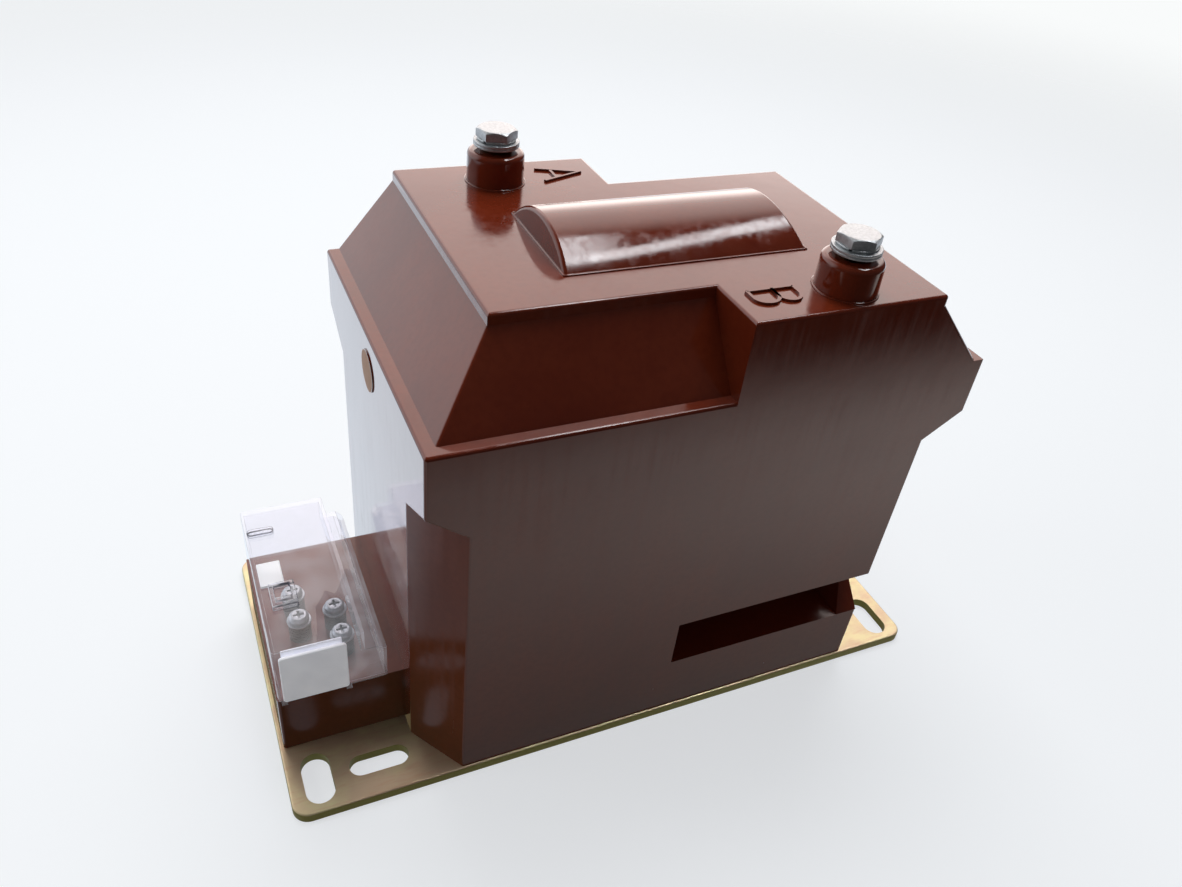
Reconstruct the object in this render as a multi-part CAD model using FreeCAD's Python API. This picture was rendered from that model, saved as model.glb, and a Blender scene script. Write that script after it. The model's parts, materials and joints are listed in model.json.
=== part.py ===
import FreeCAD, Part
import os
import math
from FreeCAD import Vector as V

# All lengths in millimetres. Z is up, the origin is the bottom centre of the base plate.

# Base plate
plate_length = 355.0
plate_width = 178.0
plate_thick = 5.0
plate_corner_r = 8.0
plate_edge_r = 1.0
slot_from_end = 14.0
slot_from_side = 18.5
end_slot_width = 13.7
end_slot_length = 28.0
side_slot_from_end = 43.6
side_slot_width = 11.5
side_slot_length = 29.0

# Resin body, outer faces
body_left = -115.3
body_right = 152.5
body_front = -87.8
body_back = 85.0
top_z = 240.0
lip_height = 5.0
crown_height = 38.0
ledge_width = 5.9
band_height = 30.0
flare_height = 14.0
lower_right = 132.6
foot_right = 131.0
lower_back = 59.7
step_x = 17.5
top_inset_left = 33.2
top_inset_right = 37.0
top_inset_front = 31.4
top_inset_back = 33.4
corner_cut_x = 18.5
corner_cut_y = 27.8
cast_edge_r = 1.5

# Creepage pocket low in the front face, open at the right end past a leaning gusset
pocket_bottom = 40.0
pocket_top = 68.0
pocket_left = 13.7
pocket_depth = 25.0
gusset_width = 13.2
gusset_short = 1.0

# Rib over the crown of the coil
rib_left = -42.0
rib_right = 76.5
rib_y = -3.7
rib_width = 62.0
rib_height = 13.0
rib_draft_left = 1.0
rib_draft_right = 5.0
rib_edge_r = 1.8

# Ground-off pouring gate on the left end face
gate_r = 10.0
gate_proud = 0.5
gate_y = 2.0
gate_lift = 11.5

# High voltage terminals, two alike
hv_a_x = -37.2
hv_a_y = 64.7
hv_b_x = 72.3
hv_b_y = -70.5
bushing_r = 13.9
bushing_draft = 0.3
bushing_height = 15.0
bushing_shoulder_r = 2.5
bushing_bead = 0.5
neck_height = 2.3
insert_neck_r = 7.6
insert_body_r = 8.5
insert_length = 40.0
insert_neck_root = 4.0
insert_groove_lift = 8.0
insert_groove_pitch = 12.0
insert_groove_width = 4.0
insert_groove_depth = 1.2
hv_bolt_d = 10.0
hv_bolt_length = 30.0
hv_head_af = 17.0
hv_head_height = 4.4
hv_head_land = 0.3
hv_head_slope = 30.0
hv_head_turn_a = 40.0
hv_head_turn_b = 36.0
hv_washer_r = 10.85
hv_washer_thick = 1.3
spring_washer_r = 9.2
spring_washer_thick = 1.1
spring_gap = 1.2
spring_gap_turn = 215.0
hv_hole_spare = 2.0
thread_clear = 0.1
washer_clear = 0.5

# Low voltage pedestal and its terminals
pedestal_reach = 60.2
pedestal_front = -49.0
pedestal_back = 51.0
pedestal_top = 41.0
lv_first_x = 17.7
lv_row_gap = 17.8
lv_first_y = 45.0
lv_pitch = 17.5
lv_stagger = 15.5
post_r = 5.4
post_proud = 10.5
post_buried = 22.0
post_flange_r = 7.2
post_flange_thick = 4.0
post_flange_lift = 4.0
lv_hole_spare = 1.5
lv_screw_d = 5.0
lv_screw_length = 12.0
lv_head_r = 4.9
lv_head_height = 3.4
lv_head_bevel = 1.2
lv_recess_length = 5.2
lv_recess_width = 1.1
lv_recess_depth = 2.0
lv_washer_r = 5.9
lv_washer_thick = 1.0
lv_washer_clear = 0.3

# Clear cover over the low voltage terminals
cover_margin = 0.5
cover_width = 52.0
cover_wall = 1.6
cover_height = 34.0
cover_step_drop = 12.0
cover_step_width = 10.5
cover_bevel = 3.5
cover_corner_r = 2.0

# White blanking plate snapped into the front wall of the cover
blank_from_left = 2.5
blank_from_step = 8.5
blank_from_foot = 1.0
blank_from_top = 3.0
blank_face = 1.8
blank_margin = 2.5
blank_tab = 1.5
blank_clear = 0.15
lug_size = 2.6
lug_proud = 2.4
lug_overhang = 1.0
blank_corner_r = 1.6
tab_inset = 1.5
tab_lift = 1.0
tab_rise = 0.8

# Seal tongue and eyelet on the cover
tongue_from_left = 2.0
tongue_from_front = 41.5
tongue_length = 16.0
tongue_width = 11.0
tongue_thick = 1.5
eyelet_length = 16.0
eyelet_width = 12.0
eyelet_bar = 2.2
eyelet_thick = 3.0
eyelet_shift = 3.0
eyelet_land = 6.2
eyelet_clear = 0.1
catch_length = 13.0
catch_width = 5.0
catch_thick = 2.0
catch_from_left = 1.0
catch_from_back = 22.0

# Windings round the upper limb of the core
former_wall = 2.4
former_clear = 3.0
secondary_build = 3.0
secondary_margin = 4.0
barrier_build = 3.0
barrier_margin = 1.0
primary_build = 13.5
primary_margin = 6.0
hv_lead_r = 1.5
hv_lead_inset = 1.0
hv_lead_depth = 4.0
lv_lead_r = 1.6
lead_drop_gap = 17.5
lead_low_z = 28.0
lead_low_step = 5.0
lead_drop_step = 6.0
lead_tap_drop = 6.0

# Iron core, two C halves standing in the long upright plane
core_depth = 40.0
core_limb = 40.0
crown_cover = 14.0
window_clear = 10.0
window_length = 112.0
core_x = 17.5
core_outer_r = 12.0
core_inner_r = 3.0
core_fit = 0.2
band_width = 20.0
band_thick = 0.8

# Sizes that follow from the ones above
core_y = rib_y
ledge_z = top_z - crown_height
overhang_z = ledge_z - band_height
overhang_low_z = overhang_z - flare_height
gate_z = overhang_z + gate_lift
end_slot_x = plate_length / 2 - slot_from_end
end_slot_y = plate_width / 2 - slot_from_side
side_slot_x = plate_length / 2 - side_slot_from_end
former_r = math.hypot(core_depth / 2 + core_fit, core_limb / 2 + core_fit + band_thick) + former_wall
winding_r = former_r + 2 * secondary_build + barrier_build + primary_build
coil_z = top_z + rib_height - crown_cover - winding_r
window_height = winding_r - core_limb / 2 + window_clear
former_length = window_length - 2 * former_clear
secondary_length = former_length - 2 * secondary_margin
barrier_length = former_length - 2 * barrier_margin
primary_length = former_length - 2 * primary_margin
lead_drop_x = core_x - window_length / 2 - core_limb - lead_drop_gap
pedestal_left = body_left - pedestal_reach
lv_x1 = pedestal_left + lv_first_x
lv_x2 = lv_x1 + lv_row_gap
lv_y1 = pedestal_back - lv_first_y
cover_left = pedestal_left + cover_margin
cover_right = cover_left + cover_width
cover_front = pedestal_front - cover_margin
cover_back = pedestal_back - cover_margin
cover_top = pedestal_top + cover_height
cover_step = cover_top - cover_step_drop
blank_left = cover_left + blank_from_left
blank_right = cover_right - cover_step_width - blank_from_step
blank_low = pedestal_top + blank_from_foot
blank_high = cover_top - blank_from_top
tongue_left = cover_left + tongue_from_left
tongue_front = cover_front + tongue_from_front
tongue_back = tongue_front + tongue_length

# Screws that hold the plate to the casting from below
foot_screw_x1 = -85.0
foot_screw_x2 = 105.0
foot_screw_y1 = -60.0
foot_screw_y2 = 35.0
foot_screw_d = 8.0
foot_head_r = 7.8
foot_head_sink = 0.3
foot_head_height = 4.2
foot_screw_length = 20.0
foot_hole_clear = 0.4
foot_insert_r = 6.5
foot_insert_length = 20.0


def box(x0, x1, y0, y1, z0, z1):
    return Part.makeBox(x1 - x0, y1 - y0, z1 - z0, V(x0, y0, z0))


def rod(x, y, z0, z1, r):
    return Part.makeCylinder(r, z1 - z0, V(x, y, z0))


def tube(x, y, z0, z1, r_out, r_in):
    return rod(x, y, z0, z1, r_out).cut(rod(x, y, z0 - 1, z1 + 1, r_in))


def flat_face(points):
    return Part.Face(Part.makePolygon([V(*p) for p in points] + [V(*points[0])]))


def prism(points, direction):
    return flat_face(points).extrude(V(*direction))


def hull_between(low, high):
    # Flat-sided solid between two outlines with the same corners and parallel sides
    faces = [flat_face(low), flat_face(high)]
    for k in range(len(low)):
        n = (k + 1) % len(low)
        faces.append(flat_face([low[k], low[n], high[n], high[k]]))
    return Part.Solid(Part.Shell(faces))


def rectangle(x0, x1, y0, y1, z):
    return [(x0, y0, z), (x1, y0, z), (x1, y1, z), (x0, y1, z)]


def pyramid(base, tip):
    faces = [flat_face(base)]
    for p, q in zip(base, base[1:] + base[:1]):
        faces.append(flat_face([p, q, tip]))
    return Part.Solid(Part.Shell(faces))


def slot(x, y, length, width, along_x, z0, z1):
    half = (length - width) / 2
    dx, dy = (half, 0) if along_x else (0, half)
    ends = [rod(x - dx, y - dy, z0, z1, width / 2), rod(x + dx, y + dy, z0, z1, width / 2)]
    hx, hy = (half, width / 2) if along_x else (width / 2, half)
    return ends[0].fuse([ends[1], box(x - hx, x + hx, y - hy, y + hy, z0, z1)]).removeSplitter()


def wire_run(points, r):
    # Round wire drawn along straight runs, mitred at each bend
    path = Part.makePolygon([V(*p) for p in points])
    start, run = V(*points[0]), V(*points[1]) - V(*points[0])
    outline = Part.Wire(Part.makeCircle(r, start, run))
    return path.makePipeShell([outline], True, False, 1)


def edges_where(shape, test):
    return [e for e in shape.Edges if test(e)]


def is_convex(shape, edge):
    # True where the two flat faces that meet at the edge fall away from each other
    middle = (edge.FirstParameter + edge.LastParameter) / 2
    point, run = edge.valueAt(middle), edge.tangentAt(middle)
    first, second = [f for f in shape.Faces if any(x.isSame(edge) for x in f.Edges)]
    normals = [f.normalAt(*f.Surface.parameter(point)) for f in (first, second)]
    inward = run.cross(normals[1])
    inward.normalize()
    if not second.isInside(point + inward * 0.05, 1e-4, True):
        inward = inward * -1
    return normals[0].dot(inward) < -1e-6


# Base plate with its slots and countersunk holes
def make_plate():
    hx, hy = plate_length / 2, plate_width / 2
    plate = box(-hx, hx, -hy, hy, 0, plate_thick)
    upright = edges_where(plate, lambda e: abs(e.BoundBox.ZLength - plate_thick) < 0.01)
    plate = plate.makeFillet(plate_corner_r, upright)
    top_rim = edges_where(plate, lambda e: e.BoundBox.ZMin > plate_thick - 0.01)
    plate = plate.makeFillet(plate_edge_r, top_rim)
    for sy in (-1, 1):
        for sx in (-1, 1):
            plate = plate.cut(slot(sx * end_slot_x, sy * end_slot_y, end_slot_length, end_slot_width,
                                   False, -1, plate_thick + 1))
        plate = plate.cut(slot(-side_slot_x, sy * end_slot_y, side_slot_length, side_slot_width,
                               True, -1, plate_thick + 1))
    for x, y in foot_places():
        plate = plate.cut(foot_screw(x, y, foot_hole_clear))
    return plate


def foot_places():
    return [(x, y) for x in (foot_screw_x1, foot_screw_x2) for y in (foot_screw_y1, foot_screw_y2)]


def foot_screw(x, y, grow=0.0):
    # Countersunk screw, or its hole when grown all round
    r = foot_screw_d / 2
    low = 0.0 if grow else foot_head_sink
    rim = rod(x, y, low - (1 if grow else 0), foot_head_sink + 0.4, foot_head_r + grow)
    cone = Part.makeCone(foot_head_r + grow, r + grow, foot_head_height - 0.4,
                         V(x, y, foot_head_sink + 0.4))
    shank = rod(x, y, foot_head_sink + foot_head_height - 0.2, foot_head_sink + foot_screw_length, r + grow)
    return rim.fuse([cone, shank]).removeSplitter()


def foot_insert(x, y):
    top = plate_thick + foot_insert_length
    hole_top = foot_head_sink + foot_screw_length + 1
    body = rod(x, y, plate_thick, top, foot_insert_r)
    return body.cut(rod(x, y, plate_thick - 1, hole_top, foot_screw_d / 2 + thread_clear))


# Outer shape of the casting
def half_crown(x0, x1, y0, y1, tx0, tx1, ty0, ty1):
    slope = hull_between(rectangle(x0, x1, y0, y1, ledge_z),
                         rectangle(tx0, tx1, ty0, ty1, top_z - lip_height))
    return slope.fuse(box(tx0, tx1, ty0, ty1, top_z - lip_height, top_z))


def make_rib():
    # Round-backed rib: a segment of a circle drawn out along X, each end leaning in by its draft
    r = (rib_width ** 2 / 4 + rib_height ** 2) / (2 * rib_height)
    front, back = rib_y - rib_width / 2, rib_y + rib_width / 2
    corners = [V(rib_left, front, top_z), V(rib_left, rib_y, top_z + rib_height), V(rib_left, back, top_z)]
    outline = [Part.Arc(*corners).toShape(), Part.makeLine(corners[2], corners[0])]
    rib = Part.Face(Part.Wire(outline)).extrude(V(rib_right - rib_left, 0, 0))
    for x, outward, draft in ((rib_left, -1, rib_draft_left), (rib_right, 1, rib_draft_right)):
        rise = 2 * rib_height
        beyond = x + outward * r
        wedge = [(x, front, top_z), (beyond, front, top_z), (beyond, front, top_z + rise),
                 (x - outward * draft * rise / rib_height, front, top_z + rise)]
        rib = rib.cut(prism(wedge, (0, rib_width, 0)))
    draft = max(rib_draft_left, rib_draft_right)
    ends = edges_where(rib, lambda e: e.BoundBox.ZLength > rib_height / 2
                       and e.BoundBox.XLength < draft + 0.5)
    rib = rib.makeFillet(rib_edge_r, ends)
    foot = box(rib_left, rib_right, front, back, top_z - 1, top_z)
    return rib.fuse(foot).removeSplitter()


def make_bushing(x, y):
    top = top_z + bushing_height
    body = Part.makeCone(bushing_r, bushing_r - bushing_draft, bushing_height, V(x, y, top_z))
    rim = edges_where(body, lambda e: abs(e.BoundBox.ZMin - top) < 0.01 and e.BoundBox.ZLength < 0.01)
    body = body.makeFillet(bushing_shoulder_r, rim).fuse(rod(x, y, top_z - 1, top_z, bushing_r))
    bead = Part.makeCone(bushing_r + bushing_bead, bushing_r, bushing_bead, V(x, y, top_z))
    return body.fuse(bead)


def soften(block):
    # Outer edges as the mould leaves them. Seats, step, flush ledges and lip corners stay sharp
    def wanted(e):
        b = e.BoundBox
        level = b.ZLength < 0.01
        on_seat = level and abs(b.ZMin - plate_thick) < 0.01
        under_cover = level and abs(b.ZMin - pedestal_top) < 0.01
        along_x = level and b.YLength < 0.01
        flush_ledge = along_x and abs(b.ZMin - ledge_z) < 0.01 and b.XMin > step_x - 0.01
        at_step = not level and b.XLength < 0.01 and abs(b.XMin - step_x) < 0.01
        inboard = body_front + 1 < b.YMin and b.YMax < body_back - 1
        lip_corner = not level and b.ZMin > ledge_z + 1 and inboard
        return not (on_seat or under_cover or flush_ledge or at_step or lip_corner)
    return block.makeFillet(cast_edge_r, [e for e in edges_where(block, wanted) if is_convex(block, e)])


def make_outer():
    z0 = plate_thick
    lower = hull_between(rectangle(body_left, foot_right, body_front, lower_back, z0),
                         rectangle(body_left, lower_right, body_front, lower_back, overhang_low_z))
    shoulder = hull_between(rectangle(body_left, lower_right, body_front, lower_back, overhang_low_z),
                            rectangle(body_left, body_right, body_front, body_back, overhang_z))
    upper = box(body_left, body_right, body_front, body_back, overhang_z, ledge_z)
    crown_a = half_crown(body_left + ledge_width, step_x, body_front + ledge_width, body_back,
                         body_left + top_inset_left, step_x, body_front + top_inset_front, body_back)
    crown_b = half_crown(step_x, body_right - ledge_width, body_front, body_back - ledge_width,
                         step_x, body_right - top_inset_right, body_front, body_back - top_inset_back)
    pedestal = box(pedestal_left, body_left + 1, pedestal_front, pedestal_back, z0, pedestal_top)
    body = lower.fuse([shoulder, upper, crown_a, crown_b, pedestal]).removeSplitter()

    # Front left corner cut below the overhang, running out to a point at the overhang
    tri = [(body_left, body_front), (body_left + corner_cut_x, body_front),
           (body_left, body_front + corner_cut_y)]
    column = prism([(x, y, z0 - 1) for x, y in tri], (0, 0, overhang_low_z - z0 + 1))
    tip = pyramid([(x, y, overhang_low_z) for x, y in tri], (body_left, body_front, overhang_z))
    body = soften(body.cut(column.fuse(tip)).removeSplitter().Solids[0])

    # Creepage pocket, and the gusset that stands in it on the foot
    far = 20.0
    wall = body_front + pocket_depth
    body = body.cut(box(pocket_left, lower_right + far, body_front - far, wall, pocket_bottom, pocket_top))
    base = rectangle(foot_right - gusset_width, foot_right, body_front, wall, pocket_bottom)
    body = body.fuse(pyramid(base, (foot_right, wall, pocket_top - gusset_short)))

    gate = Part.makeCylinder(gate_r, gate_proud + 1, V(body_left - gate_proud, gate_y, gate_z), V(1, 0, 0))
    body = body.fuse([make_rib(), make_bushing(hv_a_x, hv_a_y), make_bushing(hv_b_x, hv_b_y), gate])
    return body.removeSplitter()


# High voltage terminal pieces, stacked upward from the top of the bushing
def hv_levels():
    neck_top = top_z + bushing_height + neck_height
    lower = neck_top + hv_washer_thick
    upper = lower + hv_washer_thick
    spring = upper + spring_washer_thick
    return neck_top, lower, upper, spring


def make_insert(x, y, bored=True):
    # Turned brass piece cast into the bushing, grooved so that the resin holds it
    neck_top = hv_levels()[0]
    neck_foot = top_z + bushing_height - insert_neck_root
    low = neck_top - insert_length
    body = rod(x, y, low, neck_foot, insert_body_r).fuse(rod(x, y, neck_foot, neck_top, insert_neck_r))
    for z in (low + insert_groove_lift, low + insert_groove_lift + insert_groove_pitch):
        body = body.cut(tube(x, y, z, z + insert_groove_width, insert_body_r + 1,
                             insert_body_r - insert_groove_depth))
    if not bored:
        return body
    hole_z = hv_levels()[3] - hv_bolt_length - hv_hole_spare
    return body.cut(rod(x, y, hole_z, neck_top + 1, hv_bolt_d / 2 + thread_clear)).removeSplitter()


def make_hv_washer(x, y, z):
    return tube(x, y, z, z + hv_washer_thick, hv_washer_r, hv_bolt_d / 2 + washer_clear)


def make_spring_washer(x, y, z):
    ring = tube(x, y, z, z + spring_washer_thick, spring_washer_r, hv_bolt_d / 2 + washer_clear)
    cut = box(x, x + spring_washer_r + 1, y - spring_gap / 2, y + spring_gap / 2,
              z - 1, z + spring_washer_thick + 1)
    cut.rotate(V(x, y, z), V(0, 0, 1), spring_gap_turn)
    return ring.cut(cut)


def make_hv_bolt(x, y, turn):
    # Hexagon head, its corners cut back by a cone that opens downward from the top face
    z = hv_levels()[3]
    r = hv_head_af / math.sqrt(3)
    angles = [math.radians(60 * k + turn) for k in range(6)]
    head = prism([(x + r * math.cos(a), y + r * math.sin(a), z) for a in angles], (0, 0, hv_head_height))
    top_r = hv_head_af / 2 - hv_head_land
    slope = math.tan(math.radians(hv_head_slope))
    cone = Part.makeCone(top_r + hv_head_height / slope, top_r, hv_head_height, V(x, y, z))
    shank = rod(x, y, z - hv_bolt_length, z + 0.1, hv_bolt_d / 2)
    return head.common(cone).fuse(shank).removeSplitter()


# Low voltage terminals
def lv_places():
    return [(lv_x1, lv_y1), (lv_x1, lv_y1 - lv_pitch),
            (lv_x2, lv_y1 - lv_stagger), (lv_x2, lv_y1 - lv_stagger - lv_pitch)]


def make_post(x, y, bored=True):
    low = pedestal_top - post_buried
    top = pedestal_top + post_proud
    body = rod(x, y, low, top, post_r)
    flange_z = low + post_flange_lift
    body = body.fuse(rod(x, y, flange_z, flange_z + post_flange_thick, post_flange_r))
    if not bored:
        return body
    deep = lv_screw_length - lv_washer_thick + lv_hole_spare
    return body.cut(rod(x, y, top - deep, top + 1, lv_screw_d / 2 + thread_clear)).removeSplitter()


def make_lv_washer(x, y):
    z = pedestal_top + post_proud
    return tube(x, y, z, z + lv_washer_thick, lv_washer_r, lv_screw_d / 2 + lv_washer_clear)


def make_lv_screw(x, y):
    z = pedestal_top + post_proud + lv_washer_thick
    shoulder = lv_head_height - lv_head_bevel
    head = rod(x, y, z, z + shoulder, lv_head_r)
    bevel = Part.makeCone(lv_head_r, lv_head_r - lv_head_bevel, lv_head_bevel, V(x, y, z + shoulder))
    head = head.fuse(bevel)
    long, short = lv_recess_length / 2, lv_recess_width / 2
    for wx, wy in ((long, short), (short, long)):
        head = head.cut(box(x - wx, x + wx, y - wy, y + wy, z + lv_head_height - lv_recess_depth,
                            z + lv_head_height + 1))
    return head.fuse(rod(x, y, z - lv_screw_length, z + 0.1, lv_screw_d / 2)).removeSplitter()


# Clear cover: raised part on the left, lower step with a sloping edge on the right
def cover_outline(inset, y):
    xl = cover_left + inset
    xr = cover_right - inset
    xm = cover_right - cover_step_width - inset
    zt = cover_top - inset
    zs = cover_step - inset
    b = cover_bevel
    low = pedestal_top - (1 if inset else 0)
    return [(xl, y, low), (xr, y, low), (xr, y, zs - b), (xr - b, y, zs),
            (xm, y, zs), (xm, y, zt), (xl, y, zt)]


def blank_hole(grow=0.0):
    m = blank_margin - grow
    return box(blank_left + m, blank_right - m, cover_front - 5, cover_front + cover_wall + 5,
               blank_low + m, blank_high - m)


def make_cover():
    length = cover_back - cover_front
    outer = prism(cover_outline(0.0, cover_front), (0, length, 0))
    upright = edges_where(outer, lambda e: e.BoundBox.ZLength > 5 and e.BoundBox.YLength < 0.01
                          and e.BoundBox.XLength < 0.01 and e.BoundBox.ZMin < pedestal_top + 1)
    outer = outer.makeFillet(cover_corner_r, upright)
    inner = prism(cover_outline(cover_wall, cover_front + cover_wall), (0, length - 2 * cover_wall, 0))
    cover = outer.cut(inner).cut(blank_hole(blank_clear))
    # Lugs under the lower corners of the blanking plate
    for x in (blank_left - lug_overhang, blank_right + lug_overhang - lug_size):
        cover = cover.fuse(box(x, x + lug_size, cover_front - lug_proud, cover_front + 0.5,
                               pedestal_top, blank_low - blank_clear))
    return cover.removeSplitter()


def make_front_blank():
    face = box(blank_left, blank_right, cover_front - blank_face, cover_front, blank_low, blank_high)
    upright = edges_where(face, lambda e: abs(e.BoundBox.YLength - blank_face) < 0.01)
    face = face.makeFillet(blank_corner_r, upright)
    stem = blank_hole(0.0).common(box(-999, 999, cover_front - 0.2, cover_front + cover_wall + 0.2, 0, 999))
    y = cover_front + cover_wall
    tab = box(blank_left + tab_inset, blank_right - tab_inset, y, y + blank_tab,
              blank_low + tab_lift, blank_high + tab_rise)
    return face.fuse([stem, tab]).removeSplitter()


def make_tongue():
    return box(tongue_left, tongue_left + tongue_width, tongue_front, tongue_back,
               cover_top, cover_top + tongue_thick)


def make_eyelet():
    # Clear frame with a sealing hole, standing on the cover next to the tongue
    x = tongue_left + eyelet_shift
    y1 = tongue_front - eyelet_clear
    y0 = y1 - eyelet_length
    frame = box(x, x + eyelet_width, y0, y1, cover_top, cover_top + eyelet_thick)
    hole = box(x + eyelet_bar, x + eyelet_width - eyelet_bar, y0 + eyelet_land, y1 - eyelet_bar,
               cover_top - 1, cover_top + eyelet_thick + 1)
    return frame.cut(hole)


def make_catch():
    # Small clear catch on the cover near its back left corner
    x = cover_left + catch_from_left
    y = cover_back - catch_from_back
    body = box(x, x + catch_length, y, y + catch_width, cover_top, cover_top + catch_thick)
    upright = edges_where(body, lambda e: abs(e.BoundBox.ZLength - catch_thick) < 0.01)
    return body.makeFillet(catch_width * 0.45, upright)


# Iron core as two C halves, split across the upper and lower limbs
def core_outline(grow):
    hx = window_length / 2 + core_limb + grow
    z1 = coil_z + core_limb / 2 + grow
    z0 = coil_z - core_limb / 2 - window_height - core_limb - grow
    return box(core_x - hx, core_x + hx, core_y - core_depth / 2, core_y + core_depth / 2, z0, z1)


def round_long_edges(shape, r):
    along_y = edges_where(shape, lambda e: e.BoundBox.XLength < 0.01 and e.BoundBox.ZLength < 0.01)
    return shape.makeFillet(r, along_y)


def make_core():
    outer = round_long_edges(core_outline(0.0), core_outer_r)
    z1 = coil_z - core_limb / 2
    window = box(core_x - window_length / 2, core_x + window_length / 2, core_y - core_depth,
                 core_y + core_depth, z1 - window_height, z1)
    return outer.cut(round_long_edges(window, core_inner_r))


def make_band():
    outer = round_long_edges(core_outline(band_thick), core_outer_r + band_thick)
    ring = outer.cut(round_long_edges(core_outline(0.0), core_outer_r))
    return ring.common(box(-999, 999, core_y - band_width / 2, core_y + band_width / 2, 0, 999))


def coil_tube(r_in, r_out, length):
    start = V(core_x - length / 2, core_y, coil_z)
    outer = Part.makeCylinder(r_out, length, start, V(1, 0, 0))
    if r_in <= 0:
        return outer
    return outer.cut(Part.makeCylinder(r_in, length + 2, start - V(1, 0, 0), V(1, 0, 0)))


def make_former():
    # The bore takes the limb and the steel band that lies on top of it
    h = core_limb / 2 + core_fit
    d = core_depth / 2 + core_fit
    bore = box(core_x - former_length, core_x + former_length, core_y - d, core_y + d,
               coil_z - h, coil_z + h + band_thick)
    return coil_tube(0, former_r, former_length).cut(bore)


def make_parts():
    parts = {}
    r1 = former_r
    r2 = r1 + secondary_build
    r3 = r2 + secondary_build
    r4 = r3 + barrier_build
    r5 = r4 + primary_build
    core = make_core()
    parts["core_half_left"] = core.common(box(-999, core_x, -999, 999, 0, 999))
    parts["core_half_right"] = core.common(box(core_x, 999, -999, 999, 0, 999))
    parts["core_band"] = make_band()
    parts["winding_former"] = make_former()
    parts["secondary_winding_1"] = coil_tube(r1, r2, secondary_length)
    parts["secondary_winding_2"] = coil_tube(r2, r3, secondary_length)
    parts["barrier_tube"] = coil_tube(r3, r4, barrier_length)
    parts["primary_winding"] = coil_tube(r4, r5, primary_length)

    # Terminals of the high voltage side
    neck_top, lower, upper, spring = hv_levels()
    for tag, x, y, turn in (("a", hv_a_x, hv_a_y, hv_head_turn_a), ("b", hv_b_x, hv_b_y, hv_head_turn_b)):
        parts["hv_insert_" + tag] = make_insert(x, y)
        parts["hv_washer_lower_" + tag] = make_hv_washer(x, y, neck_top)
        parts["hv_washer_upper_" + tag] = make_hv_washer(x, y, lower)
        parts["hv_spring_washer_" + tag] = make_spring_washer(x, y, upper)
        parts["hv_bolt_" + tag] = make_hv_bolt(x, y, turn)
        side = 1 if y > core_y else -1
        end_x = core_x + (primary_length / 2 - hv_lead_inset) * (-1 if x < core_x else 1)
        reach = r5 - hv_lead_depth
        start = (end_x, core_y + side * reach * 0.80, coil_z + reach * 0.60)
        lead = wire_run([start, (x, y, neck_top - insert_length + 1)], hv_lead_r)
        parts["hv_lead_" + tag] = lead.cut(parts["primary_winding"]).cut(parts["hv_insert_" + tag])

    # Terminals of the low voltage side
    parts["lv_posts"] = Part.makeCompound([make_post(x, y) for x, y in lv_places()])
    parts["lv_washers"] = Part.makeCompound([make_lv_washer(x, y) for x, y in lv_places()])
    parts["lv_screws"] = Part.makeCompound([make_lv_screw(x, y) for x, y in lv_places()])
    runs = []
    windings = [parts["secondary_winding_1"], parts["secondary_winding_2"], parts["winding_former"],
                parts["barrier_tube"]]
    for k, (x, y) in enumerate(lv_places()):
        side = 1 if k < 2 else -1
        outer = k in (0, 3)
        ring = (r1 + r2) / 2 if outer else (r2 + r3) / 2
        lift = 0.0 if outer else lead_tap_drop
        y0 = core_y + side * math.sqrt(ring ** 2 - lift ** 2)
        z0 = coil_z - lift
        low_z = lead_low_z if outer else lead_low_z - lead_low_step
        drop = lead_drop_x - lead_drop_step if outer else lead_drop_x
        run = wire_run([(core_x - secondary_length / 2 + 1, y0, z0), (drop, y0, z0), (drop, y0, low_z),
                        (x, y, low_z)], lv_lead_r)
        for solid in windings + [parts["lv_posts"]]:
            run = run.cut(solid)
        runs.append(run)
    parts["lv_leads"] = Part.makeCompound(runs)

    parts["terminal_cover"] = make_cover()
    parts["front_blanking_plate"] = make_front_blank()
    parts["seal_tongue"] = make_tongue()
    parts["seal_eyelet"] = make_eyelet()
    parts["cover_catch"] = make_catch()
    parts["base_plate"] = make_plate()
    parts["foot_screws"] = Part.makeCompound([foot_screw(x, y) for x, y in foot_places()])
    parts["foot_inserts"] = Part.makeCompound([foot_insert(x, y) for x, y in foot_places()])

    # The casting is poured round everything inside it
    casting = make_outer()
    inside = [coil_tube(0, r5, primary_length), coil_tube(0, r4, barrier_length),
              coil_tube(0, former_r, former_length), core, parts["core_band"]]
    insert_top = plate_thick + foot_insert_length
    inside += [rod(x, y, plate_thick - 1, insert_top, foot_insert_r) for x, y in foot_places()]
    for tag, x, y in (("a", hv_a_x, hv_a_y), ("b", hv_b_x, hv_b_y)):
        inside += [make_insert(x, y, False), parts["hv_lead_" + tag]]
    inside += [make_post(x, y, False) for x, y in lv_places()] + runs
    for solid in inside:
        casting = casting.cut(solid)
    parts["resin_casting"] = casting
    return parts


def main():
    os.makedirs("parts", exist_ok=True)
    for name, shape in make_parts().items():
        shape.exportStep("parts/" + name + ".step")


main()
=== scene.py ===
import json
import math

import bmesh
import bpy
import numpy as np
from mathutils import Matrix, Vector


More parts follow.
